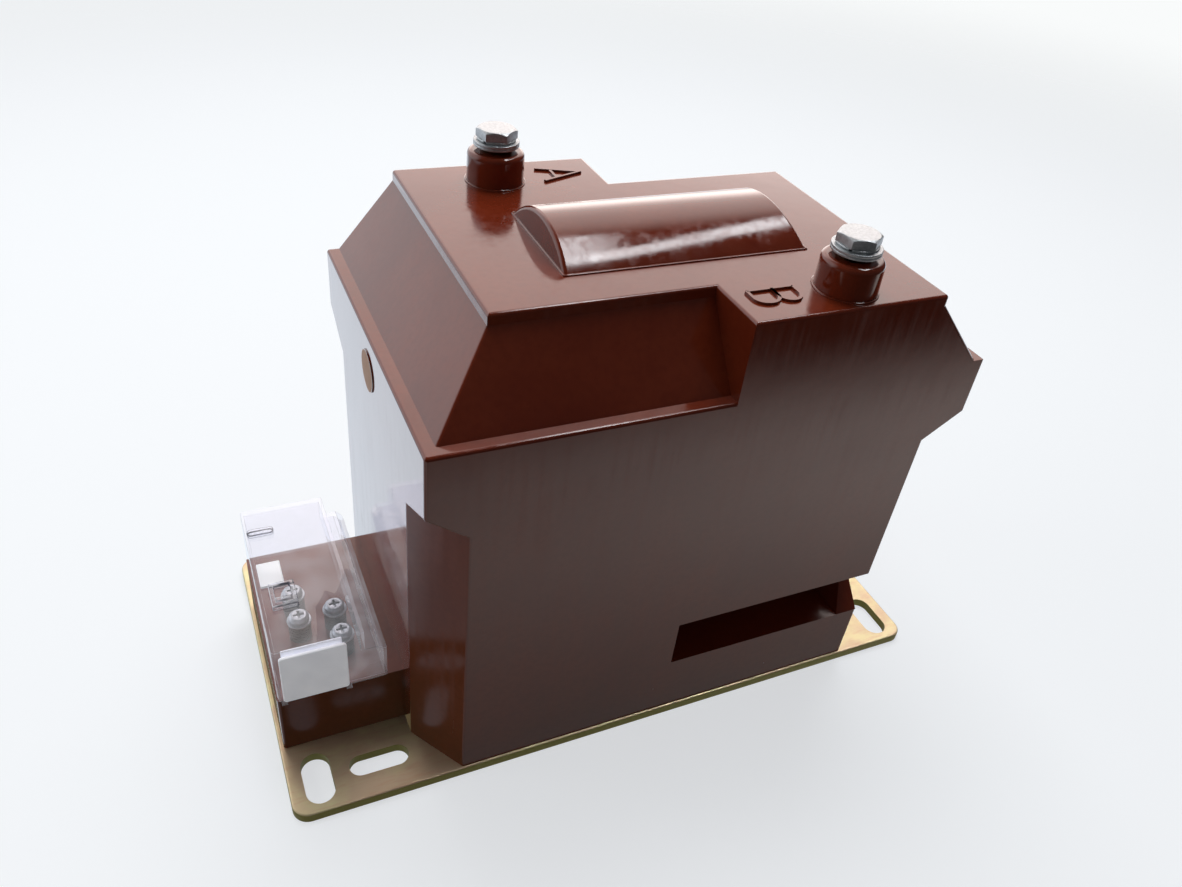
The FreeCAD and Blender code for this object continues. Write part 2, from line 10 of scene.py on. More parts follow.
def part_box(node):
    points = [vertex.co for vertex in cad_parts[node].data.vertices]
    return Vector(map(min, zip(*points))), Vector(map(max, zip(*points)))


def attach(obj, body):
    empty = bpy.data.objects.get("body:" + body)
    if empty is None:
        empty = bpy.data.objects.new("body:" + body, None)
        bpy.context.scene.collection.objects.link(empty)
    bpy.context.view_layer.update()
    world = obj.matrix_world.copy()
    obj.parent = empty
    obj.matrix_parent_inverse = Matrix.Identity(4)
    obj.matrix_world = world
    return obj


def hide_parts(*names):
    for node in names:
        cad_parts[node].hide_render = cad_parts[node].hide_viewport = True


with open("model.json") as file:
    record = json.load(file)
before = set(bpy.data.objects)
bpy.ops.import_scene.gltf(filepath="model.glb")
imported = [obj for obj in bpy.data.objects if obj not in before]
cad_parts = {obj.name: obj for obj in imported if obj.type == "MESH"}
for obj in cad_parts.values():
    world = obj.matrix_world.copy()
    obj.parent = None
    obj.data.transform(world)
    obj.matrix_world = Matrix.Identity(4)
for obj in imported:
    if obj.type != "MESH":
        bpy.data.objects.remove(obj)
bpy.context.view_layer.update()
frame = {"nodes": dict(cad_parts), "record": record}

# A cast resin voltage transformer on a pale table. Lengths are in metres; MM turns millimetres into them.
MM = 0.001

# Places in metres: the casting's top and the bolts' places are read from the imported model, the bushing's
# height and the body's left end are given
BUSHING_HEIGHT = 15 * MM
casting_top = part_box("resin_casting")[1][2]
bolt_places = {tag: np.mean(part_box("hv_washer_lower_" + tag), axis=0) for tag in "ab"}
top_z = casting_top - BUSHING_HEIGHT
body_left = -115.3 * MM

# Index of refraction of the clear and white plastics, and of the resin
PLASTIC_IOR = 1.49
RESIN_IOR = 1.52

# Camera as solved from the photograph
CAMERA_PLACE = (-0.1892, -0.3518, 0.4204)
CAMERA_LOOK = (0.37580, 0.70507, -0.60138)
CAMERA_UP = (0.16959, 0.58566, 0.79261)
SENSOR_MM = 36.0
LENS_MM = 29.12

# Strip light overhead, where east is x/z and north is y/z of the direction: north = slope * east + offset
STRIP_SLOPE = 1.73
STRIP_OFFSET = -1.035
STRIP_STRENGTH = 13.0
WINDOW_STRENGTH = 12.0

# Rib's foot on the top face, corner by corner in millimetres
RIB_FOOT = [(-42, -34.7), (76.5, -34.7), (76.5, 27.3), (-42, 27.3)]

# Middle and radius of the pouring gate's face on the left end, in millimetres
GATE_Y, GATE_Z = 2, 183.5
GATE_R = 9.6
GATE_PROUD = 0.5


def to_linear(code):
    """Scene-linear colour of an sRGB hex code: each channel is undone by the sRGB curve."""
    channels = [int(code[k:k + 2], 16) / 255 for k in (1, 3, 5)]
    return tuple(c / 12.92 if c <= 0.04045 else ((c + 0.055) / 1.055) ** 2.4 for c in channels) + (1.0,)


def add(tree, kind, sockets=None, **settings):
    """Adds a shader node. Settings are its own properties; sockets take a constant or another node's output."""
    node = tree.nodes.new("ShaderNode" + kind)
    for name, value in settings.items():
        setattr(node, name, value)
    for key, value in (sockets or {}).items():
        if isinstance(value, bpy.types.NodeSocket):
            tree.links.new(value, node.inputs[key])
        else:
            node.inputs[key].default_value = value
    return node


def empty_material(name):
    """A material with no nodes yet, and its node tree."""
    material = bpy.data.materials.new(name)
    material.use_nodes = True
    material.node_tree.nodes.clear()
    return material, material.node_tree


def close(tree, shader):
    """Joins the finished shader to the material's output."""
    add(tree, "OutputMaterial", {"Surface": shader})


def noise(tree, where, size_mm, detail=3.0, roughness=0.5, distortion=0.0):
    """Noise whose blobs are about size_mm across, as a value from 0 to 1."""
    return add(tree, "TexNoise", {"Vector": where, "Scale": 1 / (size_mm * MM), "Detail": detail,
                                  "Roughness": roughness, "Distortion": distortion}).outputs["Fac"]


def spread(tree, value, low, high, to_low, to_high, smooth=True):
    """Maps value from low..high to to_low..to_high, held at both ends."""
    kind = "SMOOTHSTEP" if smooth else "LINEAR"
    return add(tree, "MapRange", {"Value": value, "From Min": low, "From Max": high, "To Min": to_low,
                                  "To Max": to_high}, interpolation_type=kind).outputs["Result"]


def blend_colours(tree, factor, first, second):
    """Mix of two colours, each a hex code or a colour output."""
    pair = [to_linear(c) if isinstance(c, str) else c for c in (first, second)]
    return add(tree, "Mix", {0: factor, 6: pair[0], 7: pair[1]}, data_type="RGBA").outputs[2]


def own_place(tree):
    """Place on the piece itself, in metres."""
    return add(tree, "TexCoord").outputs["Object"]


def total(tree, values):
    """Sum of shader values."""
    result = values[0]
    for value in values[1:]:
        result = add(tree, "Math", {0: result, 1: value}, operation="ADD").outputs["Value"]
    return result


# Finishes
def cast_resin():
    """Filled epoxy resin cast in a polished steel mould and left bare: deep red-brown, wet gloss, faint cloudy
    flow marks, and a strong sheen where it is seen edge on."""
    material, tree = empty_material("cast_epoxy_resin")
    where = own_place(tree)
    clouds = noise(tree, where, 60, 4, 0.55, 0.4)
    fine = noise(tree, where, 3.0, 2)
    colour = blend_colours(tree, spread(tree, clouds, 0.3, 0.7, 0, 1), "#632211", "#702C18")
    colour = blend_colours(tree, spread(tree, fine, 0.35, 0.75, 0, 0.25), colour, "#561C0C")
    gloss = spread(tree, noise(tree, where, 28, 3, 0.6, 0.8), 0.3, 0.75, 0.06, 0.13)
    upright = add(tree, "Mapping", {"Vector": where, "Scale": (1.0, 1.0, 0.06)}).outputs["Vector"]
    drag = spread(tree, noise(tree, upright, 3.5, 3), 0.35, 0.75, 0, 0.10)
    low_down = spread(tree, add(tree, "SeparateXYZ", {0: where}).outputs["Z"], 0.03, 0.13, 0.06, 0)
    gloss = total(tree, [gloss, drag, low_down])
    waves = noise(tree, where, 22, 2)
    grit = noise(tree, where, 0.9, 2)
    rippled = add(tree, "Bump", {"Height": waves, "Strength": 0.16, "Distance": 0.4 * MM}).outputs["Normal"]
    surface = add(tree, "Bump", {"Height": grit, "Strength": 0.05, "Distance": 0.05 * MM,
                                 "Normal": rippled}).outputs["Normal"]
    edge_on = add(tree, "LayerWeight", {"Blend": 0.5, "Normal": surface}).outputs["Facing"]
    sheen = spread(tree, edge_on, 0.60, 0.80, 0, 1)
    close(tree, add(tree, "BsdfPrincipled", {
        "Base Color": colour, "Roughness": gloss, "IOR": RESIN_IOR, "Normal": surface,
        "Coat Weight": sheen, "Coat IOR": 2.0, "Coat Roughness": 0.05, "Coat Normal": surface}).outputs["BSDF"])
    return material


def passivated_plate():
    """Mild steel plate, zinc plated and yellow chromated: pale gold with drifting pink and green films, and a
    darker olive on its upright faces, the sheared rims."""
    material, tree = empty_material("yellow_passivated_steel")
    where = own_place(tree)
    film = noise(tree, where, 35, 3, 0.5, 1.2)
    streak_place = add(tree, "Mapping", {"Vector": where, "Scale": (1.0, 6.0, 1.0)}).outputs["Vector"]
    streaks = noise(tree, streak_place, 12, 4, 0.6)
    colour = blend_colours(tree, spread(tree, film, 0.35, 0.65, 0, 1), "#E3D7A8", "#D8BF9E")
    colour = blend_colours(tree, spread(tree, streaks, 0.45, 0.8, 0, 0.5), colour, "#D3A687")
    # Faces that stand upright, the sheared rims, are coloured a darker olive
    height = add(tree, "SeparateXYZ", {0: add(tree, "NewGeometry").outputs["Normal"]}).outputs["Z"]
    rim = spread(tree, height, 0.2, 0.8, 1, 0)
    colour = blend_colours(tree, rim, colour, "#8E8C42")
    gloss = spread(tree, noise(tree, where, 6, 4, 0.7), 0.3, 0.7, 0.30, 0.46)
    grain = noise(tree, where, 0.7, 3)
    surface = add(tree, "Bump", {"Height": grain, "Strength": 0.2, "Distance": 0.05 * MM}).outputs["Normal"]
    metal = add(tree, "BsdfPrincipled", {"Base Color": colour, "Roughness": gloss, "Metallic": 0.45,
                                         "Normal": surface}).outputs["BSDF"]
    # Painted shade: in the resin's mirror the plate shows as a dim fixed glow, standing in for the body's shade
    # over it
    painted_mirror_shade = add(tree, "Emission", {"Color": to_linear("#8A7A58"), "Strength": 0.45}).outputs["Emission"]
    mirrored = add(tree, "LightPath").outputs["Is Glossy Ray"]
    close(tree, add(tree, "MixShader", {"Fac": mirrored, 1: metal, 2: painted_mirror_shade}).outputs["Shader"])
    return material


def bright_zinc():
    """Blue-bright zinc plating on turned and forged steel: pale satin grey, with fine crystalline mottling."""
    material, tree = empty_material("bright_zinc_plating")
    where = own_place(tree)
    mottle = noise(tree, where, 1.2, 4, 0.7)
    colour = blend_colours(tree, spread(tree, mottle, 0.3, 0.7, 0, 1), "#A6ABAE", "#BCC1C4")
    gloss = spread(tree, noise(tree, where, 0.8, 3), 0.3, 0.7, 0.34, 0.46)
    surface = add(tree, "Bump", {"Height": mottle, "Strength": 0.10, "Distance": 0.03 * MM}).outputs["Normal"]
    close(tree, add(tree, "BsdfPrincipled", {"Base Color": colour, "Roughness": gloss, "Metallic": 0.75,
                                            "Normal": surface}).outputs["BSDF"])
    return material


def turned_metal(name, pale, dark, gloss_low, gloss_high, ring_mm):
    """Bar stock turned on a lathe, with fine tool rings along its axis."""
    material, tree = empty_material(name)
    where = own_place(tree)
    rings = add(tree, "TexWave", {"Vector": where, "Scale": 1 / (ring_mm * MM) / 20, "Distortion": 0.6,
                                  "Detail": 2.0}, bands_direction="Z").outputs["Fac"]
    tone = noise(tree, where, 2.5, 3)
    colour = blend_colours(tree, spread(tree, tone, 0.3, 0.7, 0, 1), dark, pale)
    gloss = spread(tree, rings, 0, 1, gloss_low, gloss_high, False)
    surface = add(tree, "Bump", {"Height": rings, "Strength": 0.15, "Distance": 0.04 * MM}).outputs["Normal"]
    close(tree, add(tree, "BsdfPrincipled", {"Base Color": colour, "Roughness": gloss, "Metallic": 1.0,
                                            "Normal": surface}).outputs["BSDF"])
    return material


def clear_moulding():
    """Injection-moulded polycarbonate: clear with a trace of milk, painted as a faint glow of its own, and
    slightly wavy faces. Light goes through to what it covers, so that its shadow stays pale."""
    material, tree = empty_material("clear_polycarbonate")
    where = own_place(tree)
    waves = noise(tree, where, 16, 2)
    surface = add(tree, "Bump", {"Height": waves, "Strength": 0.12, "Distance": 0.3 * MM}).outputs["Normal"]
    haze = spread(tree, noise(tree, where, 9, 3), 0.35, 0.7, 0.01, 0.05)
    shine = add(tree, "BsdfAnisotropic", {"Color": to_linear("#FFFFFF"), "Roughness": haze,
                                          "Normal": surface}).outputs["BSDF"]
    clear = add(tree, "BsdfTransparent", {"Color": to_linear("#FBFBFE")}).outputs["BSDF"]
    # Only outward faces mirror: seen from inside the wall an unbent ray would count as total reflection
    outward = spread(tree, add(tree, "NewGeometry").outputs["Backfacing"], 0, 1, 1, 0)
    fresnel = add(tree, "Fresnel", {"IOR": PLASTIC_IOR, "Normal": surface}).outputs["Fac"]
    mirror = add(tree, "Math", {0: fresnel, 1: outward}, operation="MULTIPLY").outputs["Value"]
    wall = add(tree, "MixShader", {"Fac": mirror, 1: clear, 2: shine}).outputs["Shader"]
    # Painted light: the milky haze is a faint glow by emission, standing in for haze lit inside the plastic
    painted_milk_glow = add(tree, "Emission", {"Color": to_linear("#F0F3F8"), "Strength": 0.9}).outputs["Emission"]
    wall = add(tree, "MixShader", {"Fac": spread(tree, waves, 0.3, 0.7, 0.03, 0.10), 1: wall,
                                   2: painted_milk_glow}).outputs["Shader"]
    path = add(tree, "LightPath")
    lit_through = add(tree, "Math", {0: path.outputs["Is Shadow Ray"], 1: path.outputs["Is Diffuse Ray"]},
                      operation="MAXIMUM").outputs["Value"]
    close(tree, add(tree, "MixShader", {"Fac": lit_through, 1: wall, 2: clear}).outputs["Shader"])
    return material


def clear_edge_painted_highlights():
    """Rounded edge of the clear moulding, with painted highlights and painted dark lines: white and dark grey by
    turns, with a faint glow of its own.
    """
    material, tree = empty_material("clear_polycarbonate_edge_painted_highlights")
    where = own_place(tree)
    run = noise(tree, where, 14, 3)
    # Painted highlight and shade: the edge is coloured white and dark grey along its run, and glows faintly by
    # emission
    colour = blend_colours(tree, spread(tree, run, 0.44, 0.62, 0, 1), "#4E505C", "#F6F6FC")
    painted_edge_highlights = add(tree, "BsdfPrincipled", {"Base Color": colour, "Roughness": 0.12, "IOR": PLASTIC_IOR,
                                         "Emission Color": colour, "Emission Strength": 0.08}).outputs["BSDF"]
    clear = add(tree, "BsdfTransparent", {"Color": to_linear("#EEEEF8")}).outputs["BSDF"]
    amount = spread(tree, noise(tree, where, 22, 2), 0.35, 0.65, 0.6, 1)
    close(tree, add(tree, "MixShader", {"Fac": amount, 1: clear, 2: painted_edge_highlights}).outputs["Shader"])
    return material


def white_moulding():
    """Moulded polypropylene in cool white: soft satin with a faint painted glow of its own and small scuffs."""
    material, tree = empty_material("white_polypropylene")
    where = own_place(tree)
    tone = noise(tree, where, 9, 3)
    colour = blend_colours(tree, spread(tree, tone, 0.3, 0.7, 0, 1), "#E4E5EA", "#EEEFF3")
    gloss = spread(tree, noise(tree, where, 2, 3), 0.3, 0.7, 0.34, 0.5)
    surface = add(tree, "Bump", {"Height": noise(tree, where, 0.8, 2), "Strength": 0.1,
                                 "Distance": 0.04 * MM}).outputs["Normal"]
    # Painted light: the plastic glows by emission, standing in for light that soaks in through the back of the
    # thin white wall
    close(tree, add(tree, "BsdfPrincipled", {
        "Base Color": colour, "Roughness": gloss, "IOR": PLASTIC_IOR, "Normal": surface,
        "Emission Color": colour, "Emission Strength": 0.3}).outputs["BSDF"])
    return material


def layered_strip(name, pale, dark, pitch_mm, along, metallic, gloss):
    """Thin strip or wire laid in even layers: fine lines at the layer's pitch, across the axis named."""
    material, tree = empty_material(name)
    where = own_place(tree)
    lines = add(tree, "TexWave", {"Vector": where, "Scale": 1 / (pitch_mm * MM) / 20, "Distortion": 0.3},
                bands_direction=along).outputs["Fac"]
    tone = noise(tree, where, 15, 3)
    colour = blend_colours(tree, spread(tree, lines, 0.1, 0.6, 0, 1), dark, pale)
    colour = blend_colours(tree, spread(tree, tone, 0.35, 0.7, 0, 0.35), colour, dark)
    surface = add(tree, "Bump", {"Height": lines, "Strength": 0.4, "Distance": 0.15 * MM}).outputs["Normal"]
    close(tree, add(tree, "BsdfPrincipled", {"Base Color": colour, "Roughness": gloss, "Metallic": metallic,
                                            "Normal": surface}).outputs["BSDF"])
    return material


def pressed_board():
    """Electrical pressboard: tan cellulose fibre, matte, with short darker fibres."""
    material, tree = empty_material("pressboard")
    where = own_place(tree)
    fibres = noise(tree, where, 1.5, 5, 0.75, 1.5)
    colour = blend_colours(tree, spread(tree, fibres, 0.35, 0.7, 0, 1), "#A98B5E", "#C5AA7C")
    surface = add(tree, "Bump", {"Height": fibres, "Strength": 0.3, "Distance": 0.1 * MM}).outputs["Normal"]
    close(tree, add(tree, "BsdfPrincipled", {"Base Color": colour, "Roughness": 0.85,
                                            "Normal": surface}).outputs["BSDF"])
    return material


def ground_gate():
    """The sawn and ground stub of the pouring gate: dull beige filler shows in the cut resin."""
    material, tree = empty_material("ground_resin")
    where = own_place(tree)
    scratches = add(tree, "Mapping", {"Vector": where, "Scale": (1.0, 8.0, 1.0)}).outputs["Vector"]
    grain = noise(tree, scratches, 4, 4, 0.7)
    colour = blend_colours(tree, spread(tree, grain, 0.3, 0.7, 0, 1), "#B08468", "#C9A68E")
    surface = add(tree, "Bump", {"Height": grain, "Strength": 0.4, "Distance": 0.1 * MM}).outputs["Normal"]
    close(tree, add(tree, "BsdfPrincipled", {"Base Color": colour, "Roughness": 0.6,
                                            "Normal": surface}).outputs["BSDF"])
    return material


# Finish of each material slot in the record, and of two surfaces that only the scene has
finishes = {
    "epoxy_resin": cast_resin(),
    "passivated_steel": passivated_plate(),
    "zinc_steel": bright_zinc(),
    # Painted shade: the brass neck is coloured near black-brown, standing in for the shadow under the washers
    "terminal_brass": turned_metal("brass_painted_dark_for_shade", "#3E2C1E", "#241812", 0.30, 0.45, 0.3),
    "terminal_brass_plated": turned_metal("nickel_plated_brass", "#5A5957", "#383736", 0.22, 0.36, 0.3),
    "clear_plastic": clear_moulding(),
    "white_plastic": white_moulding(),
    "core_steel": layered_strip("silicon_steel_strip", "#8C9096", "#5C6066", 0.9, "Z", 1.0, 0.4),
    "core_strap": layered_strip("steel_strapping", "#9A9CA0", "#7A7C80", 5.0, "Y", 1.0, 0.35),
    "pressboard": pressed_board(),
    "copper_coil": layered_strip("enamelled_copper_coil", "#B4683A", "#7A3E1E", 1.2, "X", 0.6, 0.3),
    "ground_gate": ground_gate(),
    "clear_edge_painted_highlights": clear_edge_painted_highlights(),
    "copper_lead": layered_strip("enamelled_copper_wire", "#B9703F", "#94522A", 3.0, "X", 0.7, 0.3),
}


def dress_nodes():
    """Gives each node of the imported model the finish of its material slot."""
    slots = {part["node"]: part["material_slot"] for part in frame["record"]["subparts"]}
    for name, node in frame["nodes"].items():
        node.data.materials.clear()
        node.data.materials.append(finishes[slots[name]])


def put(name, vertices, faces, finish, smooth=True):
    """Makes a piece of the casting from arrays of vertices and faces, and lets it ride with the object."""
    mesh = bpy.data.meshes.new(name)
    mesh.from_pydata(np.asarray(vertices).reshape(-1, 3), [], np.asarray(faces))
    mesh.validate()
    mesh.polygons.foreach_set("use_smooth", np.full(len(mesh.polygons), smooth))
    piece = bpy.data.objects.new(name, mesh)
    bpy.context.collection.objects.link(piece)
    mesh.materials.append(finish)
    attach(piece, "root")
    return piece


def softened(node, edge_mm, steps=2, limit=28, edge_finish=None):
    """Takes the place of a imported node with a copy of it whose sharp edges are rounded: the copy's loose
    triangles are joined, flat ones merged, and a bevel of edge_mm runs along each edge sharper than limit."""
    mesh = frame["nodes"][node].data.copy()
    work = bmesh.new()
    work.from_mesh(mesh)
    bmesh.ops.remove_doubles(work, verts=work.verts, dist=0.002 * MM)
    bmesh.ops.dissolve_limit(work, angle_limit=math.radians(0.5), verts=work.verts, edges=work.edges)
    work.to_mesh(mesh)
    work.free()
    mesh.polygons.foreach_set("use_smooth", np.ones(len(mesh.polygons), bool))
    piece = bpy.data.objects.new(node + "_shown", mesh)
    bpy.context.collection.objects.link(piece)
    bevel = piece.modifiers.new("edges", "BEVEL")
    bevel.width = edge_mm * MM
    bevel.segments = steps
    bevel.limit_method = "ANGLE"
    bevel.angle_limit = math.radians(limit)
    bevel.harden_normals = True
    if edge_finish:
        mesh.materials.append(edge_finish)
        bevel.material = 1
    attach(piece, "root")
    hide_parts(node)


def grid_faces(rows, columns, wrap_rows=False, wrap_columns=False):
    """Quads of a grid of rows x columns vertices, joined round where asked."""
    r = np.arange(rows if wrap_rows else rows - 1)[:, None]
    c = np.arange(columns if wrap_columns else columns - 1)[None, :]
    r1, c1 = (r + 1) % rows, (c + 1) % columns
    corners = [r * columns + c, r * columns + c1, r1 * columns + c1, r1 * columns + c]
    return np.stack([np.broadcast_to(k, (len(r), c.shape[1])) for k in corners], -1).reshape(-1, 4)


# Studio
def make_camera():
    """Camera at the place, angle and lens solved from the photograph."""
    data = bpy.data.cameras.new("camera")
    data.sensor_fit = "HORIZONTAL"
    data.sensor_width = SENSOR_MM
    data.lens = LENS_MM
    data.clip_start = 0.01
    camera = bpy.data.objects.new("camera", data)
    bpy.context.collection.objects.link(camera)
    look = Vector(CAMERA_LOOK).normalized()
    up = Vector(CAMERA_UP).normalized()
    turn = Matrix((look.cross(up), up, -look)).transposed().to_4x4()
    camera.matrix_world = Matrix.Translation(CAMERA_PLACE) @ turn
    bpy.context.scene.camera = camera


def lamp(name, place, aim, size_x, size_y, power):
    """Soft rectangular lamp. Its image in gloss comes from the world instead, so it is hidden from gloss."""
    data = bpy.data.lights.new(name, "AREA")
    data.shape = "RECTANGLE"
    data.size = size_x
    data.size_y = size_y
    data.energy = power
    lamp_object = bpy.data.objects.new(name, data)
    bpy.context.collection.objects.link(lamp_object)
    turn = (Vector(place) - Vector(aim)).to_track_quat("Z", "Y")
    lamp_object.matrix_world = Matrix.Translation(place) @ turn.to_matrix().to_4x4()
    lamp_object.visible_glossy = False
    lamp_object.visible_camera = False


def glow(tree, direction, toward, inner, outer, strength):
    """A round soft patch of light in the world: full within inner degrees of toward, gone beyond outer."""
    aim = Vector(toward).normalized()
    near = add(tree, "VectorMath", {0: direction, 1: aim}, operation="DOT_PRODUCT").outputs["Value"]
    return spread(tree, near, math.cos(math.radians(outer)), math.cos(math.radians(inner)), 0, strength)


def product(tree, values):
    """Product of shader values."""
    result = values[0]
    for value in values[1:]:
        result = add(tree, "Math", {0: result, 1: value}, operation="MULTIPLY").outputs["Value"]
    return result


def make_world():
    """Dim even fill for the lamps' sake, a white background for the camera, and what gloss sees: a bright warm
    wall behind, a bright left side, a slanting strip and a window overhead, and a dark room in front."""
    world = bpy.data.worlds.new("studio")
    world.use_nodes = True
    tree = world.node_tree
    tree.nodes.clear()
    path = add(tree, "LightPath")
    direction = add(tree, "TexCoord").outputs["Generated"]
    axes = add(tree, "SeparateXYZ", {0: direction}).outputs
    above = add(tree, "Math", {0: axes["Z"], 1: 0.2}, operation="MAXIMUM").outputs["Value"]
    east = add(tree, "Math", {0: axes["X"], 1: above}, operation="DIVIDE").outputs["Value"]
    north = add(tree, "Math", {0: axes["Y"], 1: above}, operation="DIVIDE").outputs["Value"]
    line = add(tree, "Math", {0: east, 1: STRIP_SLOPE, 2: STRIP_OFFSET},
               operation="MULTIPLY_ADD").outputs["Value"]
    ragged = noise(tree, direction, 0.12 / MM, 4, 0.6)
    off = add(tree, "Math", {0: north, 1: line}, operation="SUBTRACT").outputs["Value"]
    off = add(tree, "Math", {0: off, 1: spread(tree, ragged, 0.3, 0.7, -0.03, 0.03, False)},
              operation="ADD").outputs["Value"]
    off = add(tree, "Math", {0: off}, operation="ABSOLUTE").outputs["Value"]
    strip = product(tree, [spread(tree, off, 0.05, 0.17, STRIP_STRENGTH, 0),
                           spread(tree, east, 0.40, 0.46, 0, 1),
                           spread(tree, east, 0.70, 0.80, 1, 0)])
    width = add(tree, "Math", {0: north}, operation="ABSOLUTE").outputs["Value"]
    window = product(tree, [spread(tree, east, 0.33, 0.36, 0, WINDOW_STRENGTH),
                            spread(tree, east, 0.455, 0.47, 1, 0),
                            spread(tree, width, 0.28, 0.36, 1, 0)])
    lamps = total(tree, [strip, window, glow(tree, direction, (-0.66, 0.70, 0.26), 20, 50, 1.6)])
    lamps = add(tree, "Math", {0: lamps, 1: 0.05}, operation="ADD").outputs["Value"]
    wall = glow(tree, direction, (0.376, 0.80, 0.47), 18, 44, 2.45)
    fill = add(tree, "Background", {"Color": to_linear("#F4F7FC"), "Strength": 0.12}).outputs["Background"]
    back = add(tree, "Background", {"Color": to_linear("#F9FBFB"), "Strength": 1.0}).outputs["Background"]
    cool = add(tree, "Background", {"Color": to_linear("#FBFCFF"), "Strength": lamps}).outputs["Background"]
    warm = add(tree, "Background", {"Color": to_linear("#FFF1EB"), "Strength": wall}).outputs["Background"]
    gloss = add(tree, "AddShader", {0: cool, 1: warm}).outputs["Shader"]
    shader = add(tree, "MixShader", {"Fac": path.outputs["Is Glossy Ray"], 1: fill, 2: gloss}).outputs["Shader"]
    clear = add(tree, "Math", {0: path.outputs["Is Camera Ray"], 1: path.outputs["Is Transmission Ray"]},
                operation="MAXIMUM").outputs["Value"]
    shader = add(tree, "MixShader", {"Fac": clear, 1: shader, 2: back}).outputs["Shader"]
    add(tree, "OutputWorld", {"Surface": shader})
    bpy.context.scene.world = world


def make_floor():
    """White table. It fades into the background far out. Gloss sees painted light and shade on it: it goes dark
    from about 0.3 m in front, carries a painted shadow of the object in front, brightens to the right and is
    bright behind the body, and it throws little of its light back onto the object."""
    material, tree = empty_material("white_table")
    where = own_place(tree)
    path = add(tree, "LightPath")
    axes = add(tree, "SeparateXYZ", {0: where}).outputs
    # Painted shade seen only in gloss: dark from about 0.3 m in front, a painted shadow of the object in front,
    # brighter to the right, white behind the body
    painted_far_dark = spread(tree, axes["Y"], -0.41, -0.27, 0.02, 1)
    painted_shadow_in_front = spread(tree, axes["Y"], -0.24, -0.09, 1, 0.42)
    behind = spread(tree, axes["Y"], -0.085, -0.03, 0, 1)
    painted_shadow_in_front = add(tree, "Math", {0: painted_shadow_in_front, 1: behind}, operation="MAXIMUM").outputs["Value"]
    across = spread(tree, axes["X"], -0.12, 0.28, 0.76, 1.12)
    across = add(tree, "Math", {0: across, 1: spread(tree, behind, 0, 1, 0, 1.02)},
                 operation="MAXIMUM").outputs["Value"]
    mirror = product(tree, [painted_far_dark, painted_shadow_in_front, across])
    plain = add(tree, "BsdfDiffuse", {"Color": to_linear("#9C9FA1")}).outputs["BSDF"]
    own_light = add(tree, "Emission", {"Color": to_linear("#F7F9FC"), "Strength": 0.67}).outputs["Emission"]
    plain = add(tree, "AddShader", {0: plain, 1: own_light}).outputs["Shader"]
    dull = add(tree, "BsdfDiffuse", {"Color": to_linear("#6E7071")}).outputs["BSDF"]
    tint = blend_colours(tree, behind, "#FFF6F1", "#E9F1FB")
    mirrored = add(tree, "Emission", {"Color": tint, "Strength": mirror}).outputs["Emission"]
    shader = add(tree, "MixShader", {"Fac": path.outputs["Is Diffuse Ray"], 1: plain, 2: dull}).outputs["Shader"]
    shader = add(tree, "MixShader", {"Fac": path.outputs["Is Glossy Ray"], 1: shader,
                                     2: mirrored}).outputs["Shader"]
    far = add(tree, "VectorMath", {0: where}, operation="LENGTH").outputs["Value"]
    gone = spread(tree, far, 0.9, 2.2, 0, 1)
    open_air = add(tree, "BsdfTransparent", {}).outputs["BSDF"]
    shader = add(tree, "MixShader", {"Fac": gone, 1: shader, 2: open_air}).outputs["Shader"]
    close(tree, shader)
    ring = np.linspace(0, 2 * math.pi, 96, endpoint=False)
    reach = np.array([0.0, 0.6, 1.5, 2.4])[:, None]
    corners = np.stack([reach * np.cos(ring), reach * np.sin(ring), np.zeros((4, 96))], -1)
    mesh = bpy.data.meshes.new("floor")
    mesh.from_pydata(corners.reshape(-1, 3), [], grid_faces(4, 96, wrap_columns=True)[:, ::-1])
    mesh.materials.append(material)
    floor = bpy.data.objects.new("floor", mesh)
    bpy.context.collection.objects.link(floor)


def make_studio():
    """Camera, world, table and the two lamps."""
    make_camera()
    make_world()
    make_floor()
    lamp("key_lamp", (0.25, 0.62, 1.45), (0, 0, 0.05), 1.3, 0.9, 21.0)
    lamp("left_lamp", (-1.3, 0.35, 0.7), (0, 0, 0.12), 0.9, 0.7, 5.0)


# Pieces
def ridge(name, points, width, height, base_z, closed=False):
    """Cast letter stroke: a flat-topped ridge with drafted sides carried along points in the top plane. Across
    the path at each point its section is (-w/2, -0.3), (-w/2 + d, h), (w/2 - d, h), (w/2, -0.3), in
    millimetres, so its foot is sunk in the casting."""
    path = np.asarray(points, float) * MM
    ahead = np.roll(path, -1, 0) - path
    behind = path - np.roll(path, 1, 0)
    if not closed:
        ahead[-1], behind[0] = behind[-1], ahead[0]
    ahead /= np.linalg.norm(ahead, axis=1)[:, None]
    behind /= np.linalg.norm(behind, axis=1)[:, None]
    run = ahead + behind
    run /= np.linalg.norm(run, axis=1)[:, None]
    across = np.stack([-run[:, 1], run[:, 0]], 1) / np.clip((run * ahead).sum(1), 0.5, 1)[:, None]
    half, draft = width * MM / 2, 0.15 * MM
    offset = np.array([-half, -half + draft, half - draft, half])
    rise = np.array([-0.3, height, height, -0.3]) * MM
    flat = path[:, None, :] + offset[None, :, None] * across[:, None, :]
    up = np.broadcast_to(base_z + rise, flat.shape[:2])[..., None]
    vertices = np.concatenate([flat, up], -1)
    faces = grid_faces(len(path), 4, wrap_rows=closed, wrap_columns=True)[:, ::-1].tolist()
    if not closed:
        last = (len(path) - 1) * 4
        faces += [[0, 1, 2, 3], [last + k for k in (3, 2, 1, 0)]]
    piece = put(name, vertices, faces, finishes["epoxy_resin"], smooth=False)
    face_outward(piece.data)


